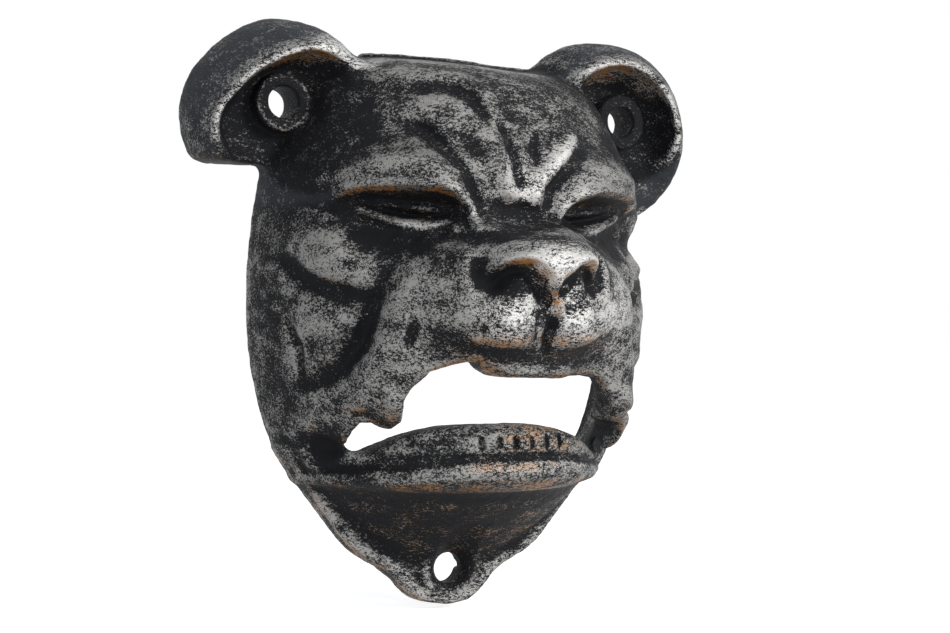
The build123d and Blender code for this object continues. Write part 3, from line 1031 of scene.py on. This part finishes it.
def make_piece(name, parts, shell, normals, marks, material):
    """One Blender object for a node, with the normals of the whole casting at its edges."""
    used = []
    local = []
    for faces in parts:
        own, index = np.unique(faces, return_inverse=True)
        local.append(index.reshape(faces.shape) + sum(len(u) for u in used))
        used.append(own)
    used = np.concatenate(used)
    local = np.concatenate(local)
    mesh = bpy.data.meshes.new("cast_" + name)
    mesh.from_pydata((shell.points[used] * MM).tolist(), [], local.tolist())
    mesh.polygons.foreach_set("use_smooth", np.ones(len(mesh.polygons), bool))
    for label, values in marks.items():
        layer = mesh.attributes.new(label, "FLOAT", "POINT")
        layer.data.foreach_set("value", values[used].astype(np.float32))
    mesh.update()
    faces = used[local]
    flat = crossed_sides(shell.points[faces])
    flat /= np.linalg.norm(flat, axis=1)[:, None] + tiny
    loops = normals[faces]
    agree = (loops * flat[:, None, :]).sum(2) > least_agreement
    loops = np.where(agree[:, :, None], loops, flat[:, None, :])
    mesh.normals_split_custom_set(loops.reshape(-1, 3).tolist())
    mesh.materials.append(material)
    piece = add_object("cast_" + name, mesh)
    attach(piece, "root")
    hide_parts(name)


def new_material(name):
    """A material with its node tree and its Principled shader."""
    material = bpy.data.materials.new(name)
    material.use_nodes = True
    return material, material.node_tree, material.node_tree.nodes["Principled BSDF"]


def fill(tree, node, inputs):
    """Gives a node its inputs: a socket is linked, and anything else is a plain value."""
    for key, value in inputs.items():
        if isinstance(value, bpy.types.NodeSocket):
            tree.links.new(value, node.inputs[key])
        else:
            node.inputs[key].default_value = value


def add_node(tree, kind, inputs=None, **settings):
    node = tree.nodes.new("ShaderNode" + kind)
    for key, value in settings.items():
        setattr(node, key, value)
    fill(tree, node, inputs or {})
    return node


def calculate(tree, operation, first, second):
    return add_node(tree, "Math", {0: first, 1: second}, operation=operation).outputs[0]


def ramp_between(tree, value, low, high):
    inputs = {"Value": value, "From Min": low, "From Max": high}
    return add_node(tree, "MapRange", inputs, interpolation_type="SMOOTHSTEP").outputs["Result"]


def spread_over(tree, share, low, high):
    return add_node(tree, "MapRange", {"Value": share, "To Min": low, "To Max": high}).outputs["Result"]


def noise(tree, place, scale, detail, rough):
    inputs = {"Vector": place, "Scale": scale, "Detail": detail, "Roughness": rough}
    return add_node(tree, "TexNoise", inputs).outputs["Fac"]


def brushed(tree, place, turn, squeeze):
    """The place turned about the level and squeezed, which draws a texture out into streaks."""
    inputs = {"Vector": place, "Rotation": (0.0, turn, 0.0), "Scale": (squeeze, 1, 1)}
    return add_node(tree, "Mapping", inputs).outputs["Vector"]


def mix_colours(tree, share, first, second):
    return add_node(tree, "Mix", {"Factor": share, 6: first, 7: second}, data_type="RGBA").outputs[2]


iron_colour = (0.007, 0.0075, 0.009, 1)
ear_wall_grey_colour = (0.034, 0.037, 0.043, 1)
silver_colour = (0.29, 0.286, 0.276, 1)
# The bright colour serves worn metal and painted highlights
worn_and_highlight_colour = (0.68, 0.67, 0.65, 1)
# The bronze colour is painted warm bounce light, tinting the silver on faces that look down and at the warm
# bounce places
warm_bounce_colour = (0.36, 0.175, 0.055, 1)
wear_and_highlight_rub = 0.1
silver_edges = (-0.15, 0.45)
warm_bounce_facing = (-0.4, -0.95)
warm_bounce_patches = (0.38, 0.58)
pit_depth = 0.4

# Textures of the rub: turn and squeeze of the streaks, scale, detail and roughness, and weight
patch_streaks, patch_noise, patch_weight = (0.6, 0.4), (330.0, 3.0, 0.65), 2.1
grain_streaks, grain_noise, grain_weight = (-0.7, 0.5), (2500.0, 3.0, 0.7), 3.2
pit_noise, pit_weight = (5200.0, 1.0, 0.5), 2.0


def antique_iron():
    """Black cast iron with silver rubbed over its high places, painted highlights where it is worn bright,
    and a bronze tint of painted warm bounce light on faces that look down.
    """
    material, tree, shader = new_material("antique_iron_rubbed_painted_light")
    rub_and_painted_light, wear_and_highlight, ear_wall_grey, warm_bounce = [
        add_node(tree, "Attribute", attribute_name=name).outputs["Fac"]
        for name in ("rub_and_painted_light", "wear_and_highlight", "ear_wall_grey", "warm_bounce")
    ]
    place = add_node(tree, "TexCoord").outputs["Object"]
    patches = noise(tree, brushed(tree, place, *patch_streaks), *patch_noise)
    grain = noise(tree, brushed(tree, place, *grain_streaks), *grain_noise)
    pits = noise(tree, place, *pit_noise)
    # The rub also grows where metal is worn bright and under painted highlights
    rub_and_painted_light = calculate(tree, "ADD", rub_and_painted_light, calculate(tree, "MULTIPLY", wear_and_highlight, wear_and_highlight_rub))
    for texture, weight in ((patches, patch_weight), (grain, grain_weight), (pits, pit_weight)):
        swing = calculate(tree, "MULTIPLY", calculate(tree, "SUBTRACT", texture, 0.5), weight)
        rub_and_painted_light = calculate(tree, "ADD", rub_and_painted_light, swing)
    silver = ramp_between(tree, rub_and_painted_light, *silver_edges)
    # Painted warm bounce light: a bronze tint on faces that look down and at the warm bounce places
    direction = add_node(tree, "SeparateXYZ", {0: add_node(tree, "NewGeometry").outputs["Normal"]})
    warm_bounce_share = ramp_between(tree, direction.outputs["Z"], *warm_bounce_facing)
    warm_bounce_share = calculate(tree, "MAXIMUM", warm_bounce_share, warm_bounce)
    warm_bounce_share = calculate(tree, "MULTIPLY", warm_bounce_share, ramp_between(tree, patches, *warm_bounce_patches))
    # Worn metal and painted highlights lighten the silver
    dull = mix_colours(tree, wear_and_highlight, silver_colour, worn_and_highlight_colour)
    silver_and_bounce = mix_colours(tree, warm_bounce_share, dull, warm_bounce_colour)
    iron = mix_colours(tree, ear_wall_grey, iron_colour, ear_wall_grey_colour)
    height = calculate(tree, "ADD", grain, calculate(tree, "MULTIPLY", pits, pit_depth))
    bump = add_node(tree, "Bump", {"Height": height, "Strength": 0.7, "Distance": 0.0004})
    fill(tree, shader, {
        "Base Color": mix_colours(tree, silver, iron, silver_and_bounce),
        "Metallic": spread_over(tree, silver, 0.0, 0.45),
        "Roughness": spread_over(tree, silver, 0.6, 0.38),
        "Specular IOR Level": 0.12,
        "Normal": bump.outputs["Normal"],
    })
    return material


# Spreads over which the surface is smoothed to find its ridges and its bulges, and the limits
# within which each of them counts
ridge_spread, ridge_limits = 0.9, (-0.3, 0.12)
bulge_spread, bulge_limits = 2.8, (-0.6, 0.5)
deepest_solid = 5
deepest_cup = 9

# How much each cause adds to the silver rub, which also carries painted bounce light under the ears' rims
rub_from_ridges = 3.6
rub_from_bulges = 0.8
rub_from_facing = 0.55
usual_facing = 0.75
rub_level = -0.22
rub_lowest = -0.55
rub_highest = 0.15
ear_rub = -0.6
boss_rub = -0.9
under_rim_bounce_rub = 1.7
jaw_rub = -0.27
jaw_side_rub = -0.22
jaw_side_span = (8, -10)
inside_rub = -0.25
inside_depths = (-1.2, -2.6)
patch_depths = (-2.2, -1.2)
rim_share = 0.95
root_rub = 0.7
ring_patch = 0.5
chin_hole_share = 0.6

# How bright each cause makes the metal: wear, painted highlights and painted warm bounce light
lip_highlight = 0.45
warm_bounce_highlight = 0.3
flange_rim_wear_and_highlight = 0.3
root_worn = 0.9
rim_worn = 0.7
under_rim_bounce_bright = 0.45

# The place where the left ear's rim runs into the head, and the distances over which it fades
root_out, root_forward, root_rise = 27, 12, 10
root_reach = (8.0, 4.5)



def soft_limit(value, low, high):
    """The value pressed between two limits without a corner."""
    half = (high - low) / 2
    return low + half + half * np.tanh((value - low - half) / half)


# Where the marks of an ear begin: out to the side, upwards, round its middle and at its edge
ear_outward, ear_upward = (32, 35), (6, 10)
ear_core, ear_edge = (15, 12.5), (20.5, 17.5)


def near_ear(x, z, side):
    """1 on the ear of one side, and 0 on the head."""
    from_ear = from_axis(x, z, side * ear_x, ear_sink)
    beside = np.maximum(ease(*ear_outward, side * x), ease(*ear_upward, z))
    beside = np.maximum(beside, ease(*ear_core, from_ear))
    return ease(*ear_edge, from_ear) * beside


# Places tinted by painted warm bounce light: their weights, how far out of the wall they begin, and
# where they fade in and out
teeth_bounce, teeth_forward = 0.8, 24
teeth_sides, teeth_heights = ((-5, 0), (18, 12)), ((-68, -66.8), (-61.8, -63))
lip_bounce, lip_forward, lip_sides = 0.7, 28, ((-12, -6), (12, 5))
lip_height, lip_spread = -70.0, 1.2
column_forward, column_place, column_spread = 36, 1.0, 1.6
column_heights = ((-40.5, -38.5), (-33, -35))
pad_bounce, pad_forward, pad_side = 0.75, 32, (15, 11)
pad_height, pad_spread = -46.2, 1.3


def within(value, sides):
    """1 between two soft ends."""
    return ease(*sides[0], value) * ease(*sides[1], value)


def warm_bounce_places(x, y, z):
    """Where painted warm bounce light tints the silver bronze: teeth, lower lip, nose column and lip pads.
    """
    teeth = within(x, teeth_sides) * within(z, teeth_heights) * (y < -teeth_forward)
    lip = within(x, lip_sides) * bell(z, lip_height, lip_spread) * (y < -lip_forward)
    column = bell(x, column_place, column_spread) * within(z, column_heights) * (y < -column_forward)
    pads = bell(z, pad_height, pad_spread) * ease(*pad_side, np.abs(x)) * (y < -pad_forward)
    return np.clip(teeth_bounce * teeth + lip_bounce * lip + column + pad_bounce * pads, 0, 1)


# Bands of the ears' marks: the cup's own skin, its side that faces down and gets painted bounce light,
# its heights, what lies outside the cup, and the rim's reach over the outer wall and down to its lower ends
cup_skin, cup_floor_gap = (0.6, 0.3), 0.6
bounce_facing_floor, bounce_heights = (-0.35, -0.75), (1, 5)
cup_outside, rim_reach, rim_foot = (0.1, 0.45), (3.6, 0.9), (-10, -6)


class Skin:
    """What the marks of wear and the painted light depend on at each vertex of the casting."""

    def __init__(self, points, normals, solid, cups):
        close = np.clip(solid, -deepest_solid, deepest_solid)
        x, y, z = points.T
        self.x, self.y, self.z = x, y, z
        self.normals = normals
        self.level = sample(close, points)
        self.fine = sample(blur(close, ridge_spread), points) - self.level
        self.broad = sample(blur(close, bulge_spread), points) - self.level
        self.near = {side: near_ear(x, z, side) for side in (-1, 1)}
        self.ears = self.near[-1] + self.near[1]
        self.warm_bounce = warm_bounce_places(x, y, z)
        from_cup = sample(np.clip(cups, -deepest_cup, deepest_cup), points)
        self.from_cup = from_cup

        # The inner walls of the ears that face down under the rim, which get painted warm bounce light
        under = ease(*cup_skin, np.abs(from_cup)) * (y < -ear_floor - cup_floor_gap)
        self.bounce_under_rim = under * ease(*bounce_facing_floor, normals[:, 2]) * ease(*bounce_heights, z)

        # The rims of the ears, fading over their outer walls and towards their lower ends
        outside = ease(*cup_outside, from_cup)
        self.beside_rim = outside * ease(*rim_reach, from_cup) * ease(*rim_foot, z)

        away = np.sqrt((x + root_out) ** 2 + (y + root_forward) ** 2 + (z - root_rise) ** 2)
        self.ear_root = ease(*root_reach, away) * outside


# Bands of the silver: the ears' lower outer ends, the bosses and the ring in front of the left
# one, the chin's hole, and where the head ends and the jaw begins
ear_foot_heights, ear_foot_side = (-5, -9), (41, 45)
boss_fade, ring_middle, ring_spread, ring_front = 1.5, -0.5, 0.5, (-7, -7.6)
chin_hole_fade = (5.5, 4.5)
head_overlap, head_side = 0.5, 27
jaw_overlap, jaw_side, jaw_forward = 1, 32, 8


def silver_rub_and_painted_light(skin, patch):
    """How much silver each place holds: most on ridges that face the viewer, and more as painted bounce
    light on the ears' inner walls under the rim.
    """
    x, y, z = skin.x, skin.y, skin.z
    rub_and_painted_light = rub_level + rub_from_ridges * np.clip(skin.fine, *ridge_limits)
    rub_and_painted_light += rub_from_bulges * np.clip(skin.broad, *bulge_limits)
    rub_and_painted_light += rub_from_facing * (np.clip(-skin.normals[:, 1], -1, 1) - usual_facing)
    for side, near in skin.near.items():
        rub_and_painted_light += near * ear_rub * (1 - rim_share * skin.beside_rim)
        rub_and_painted_light += near * ear_rub * ease(*ear_foot_heights, z) * ease(*ear_foot_side, side * x)
        # Painted bounce light: more silver on the ears' inner walls that face down under the rim
        rub_and_painted_light += under_rim_bounce_rub * near * skin.bounce_under_rim
        from_hole = from_axis(x, z, side * ear_x)
        rub_and_painted_light += boss_rub * ease(boss_radius + boss_fade, boss_radius, from_hole)
        patch = patch * (1 - near)
    ring = bell(from_axis(x, z, -ear_x) - boss_radius, ring_middle, ring_spread)
    patch = patch + ring_patch * ring * ease(*ring_front, y)
    from_hole = from_axis(x, z, 0.0, chin_hole_drop)
    rub_and_painted_light += chin_hole_share * boss_rub * ease(*chin_hole_fade, from_hole)
    below_top = z < -jaw_top_drop + jaw_overlap
    above_bottom = z > -jaw_bottom_drop
    on_head = (z > -jaw_top_drop + head_overlap) | (z < -jaw_bottom_drop) | (np.abs(x) > head_side)
    on_jaw = below_top & above_bottom & (np.abs(x) < jaw_side) & (y < -jaw_forward)
    rub_and_painted_light += on_jaw * (jaw_rub + jaw_side_rub * ease(*jaw_side_span, x))
    rub_and_painted_light += root_rub * skin.ear_root
    rub_and_painted_light += inside_rub * ease(*inside_depths, skin.level)
    rub_and_painted_light = soft_limit(rub_and_painted_light, rub_lowest, rub_highest)
    return rub_and_painted_light + patch * on_head * ease(*patch_depths, skin.level)


# Bands of the bright metal, worn and painted highlight: below the nose, the lower lip, the flange's
# rim and the ears' rims
bright_overlap = 2
bright_lip_height, bright_lip_spread = -70.4, 1.3
bright_lip_side, bright_lip_front = (-16, -4), (-24, -29)
off_hole_fade, flange_rim_fade, flange_rim_gap = (4.5, 6), (0.02, 0.08), 1
rim_edge = (1.7, 0.8)


def wear_and_highlights(skin, painted_highlight):
    """How far each place is worn down to bright metal, with painted highlights and painted warm bounce
    light added.
    """
    x, y, z = skin.x, skin.y, skin.z
    # Painted highlights from their map, kept above the jaw and off the ears
    wear_and_highlight = painted_highlight * (z > -jaw_top_drop + bright_overlap) * (1 - skin.near[-1]) * (1 - skin.near[1])
    # Painted highlight along the lower lip's right half
    lip = bell(z, bright_lip_height, bright_lip_spread)
    lip = lip * ease(*bright_lip_side, x) * ease(*bright_lip_front, y)
    # Also a painted highlight where the painted warm bounce light lies
    wear_and_highlight = wear_and_highlight + lip_highlight * lip + warm_bounce_highlight * skin.warm_bounce
    off_hole = ease(*off_hole_fade, from_axis(x, z, 0.0, chin_hole_drop))
    # The flange's rim: worn bright, with a painted highlight on it
    rim = ease(*flange_rim_fade, skin.fine) * (y < -flange_rim_gap)
    wear_and_highlight = wear_and_highlight + flange_rim_wear_and_highlight * rim * (z < -jaw_bottom_drop - bright_overlap) * off_hole
    wear_and_highlight = wear_and_highlight + root_worn * skin.ear_root
    # Ear rims worn bright, and painted bounce light on the inner walls under them
    edge = ease(*rim_edge, skin.from_cup) * skin.beside_rim
    wear_and_highlight = wear_and_highlight + skin.ears * (rim_worn * edge + under_rim_bounce_bright * skin.bounce_under_rim)
    return np.clip(wear_and_highlight, 0, 1)


grey_outside, grey_wall_gap, grey_rim_share = (0.8, 2.4), 0.3, 0.8


def ear_wall_grey_share(skin):
    """Where the ears' outer walls turn from black iron to a lighter grey."""
    outer = ease(*grey_outside, skin.from_cup) * (skin.y < -grey_wall_gap)
    return skin.ears * outer * (1 - grey_rim_share * skin.beside_rim)


def make_casting():
    field, solid, patch, painted_highlight, cups = casting()
    points, faces = surface_of(field)
    gradient = np.gradient(field, LATTICE)
    shell = Shell(settle(points, field, gradient))
    pieces = divide_casting(shell, faces)
    points = shell.points
    normals = np.stack([sample(g, points) for g in gradient], axis=1)
    normals /= np.linalg.norm(normals, axis=1)[:, None] + tiny
    skin = Skin(points, normals, solid, cups)
    marks = {
        "rub_and_painted_light": silver_rub_and_painted_light(skin, sample(patch, points)),
        "wear_and_highlight": wear_and_highlights(skin, sample(painted_highlight, points)),
        "ear_wall_grey": ear_wall_grey_share(skin),
        "warm_bounce": skin.warm_bounce,
    }
    material = antique_iron()
    for name in piece_names:
        make_piece(name, pieces[name], shell, normals, marks, material)


def white_to_the_eye(tree, plain, white):
    """The white shader for camera, glossy and transmission rays, and the plain one for the rest."""
    path = add_node(tree, "LightPath")
    seen = calculate(tree, "MAXIMUM", path.outputs["Is Camera Ray"], path.outputs["Is Glossy Ray"])
    seen = calculate(tree, "MAXIMUM", seen, path.outputs["Is Transmission Ray"])
    return add_node(tree, "MixShader", {0: seen, 1: plain, 2: white}).outputs[0]


floor_half_side = 3.0
floor_gap = 0.0005


def make_floor():
    mesh = bpy.data.meshes.new("floor")
    corners = [(i * floor_half_side, j * floor_half_side) for i, j in ((-1, -1), (1, -1), (1, 1), (-1, 1))]
    mesh.from_pydata([(x, y, cad_low.z - floor_gap) for x, y in corners], [], [(0, 1, 2, 3)])
    material, tree, shader = new_material("pale_floor")
    fill(tree, shader, {"Base Color": (0.9, 0.9, 0.9, 1), "Roughness": 0.9, "Specular IOR Level": 0.1})
    glow = add_node(tree, "Emission", {"Color": (1, 1, 1, 1), "Strength": 0.76})
    both = add_node(tree, "AddShader", {0: shader.outputs[0], 1: glow.outputs[0]})
    surface = white_to_the_eye(tree, shader.outputs[0], both.outputs[0])
    tree.links.new(surface, tree.nodes["Material Output"].inputs["Surface"])
    mesh.materials.append(material)
    add_object("floor", mesh)


def make_world():
    world = bpy.data.worlds.new("studio")
    world.use_nodes = True
    bpy.context.scene.world = world
    tree = world.node_tree
    tree.nodes.clear()
    light = add_node(tree, "Background", {"Color": (0.9, 0.93, 1.0, 1), "Strength": 0.3})
    white = add_node(tree, "Background", {"Color": (1, 1, 1, 1), "Strength": 1.0})
    surface = white_to_the_eye(tree, light.outputs[0], white.outputs[0])
    tree.links.new(surface, add_node(tree, "OutputWorld").inputs["Surface"])


# Lamps: name, place and size in metres, power and colour
lamps = (
    ("key", (0.5, -0.74, 0.36), 0.45, 7.0, (1.0, 0.99, 0.97)),
    ("fill", (-0.5, -0.6, 0.25), 0.6, 1.0, (0.95, 0.97, 1.0)),
)
lamp_aim = Vector((0, -0.02, -0.04))


def make_lamps():
    for name, place, size, power, colour in lamps:
        lamp = bpy.data.lights.new(name, "AREA")
        lamp.shape = "DISK"
        lamp.size = size
        lamp.energy = power
        lamp.color = colour
        item = add_object(name, lamp)
        item.location = place
        item.rotation_euler = (lamp_aim - Vector(place)).to_track_quat("-Z", "Y").to_euler()


def make_camera():
    place, right, up, ahead = camera_axes()
    data = bpy.data.cameras.new("camera")
    data.sensor_width = 36.0
    data.lens = focal_pixels / image_width * data.sensor_width
    data.clip_start = 0.01
    data.clip_end = 50
    camera = add_object("camera", data)
    turn = Matrix((right, up, -ahead)).transposed().to_4x4()
    camera.matrix_world = Matrix.Translation(place * MM) @ turn
    bpy.context.scene.camera = camera
    bpy.context.scene.view_settings.view_transform = "Standard"


make_casting()
make_floor()
make_world()
make_lamps()
make_camera()
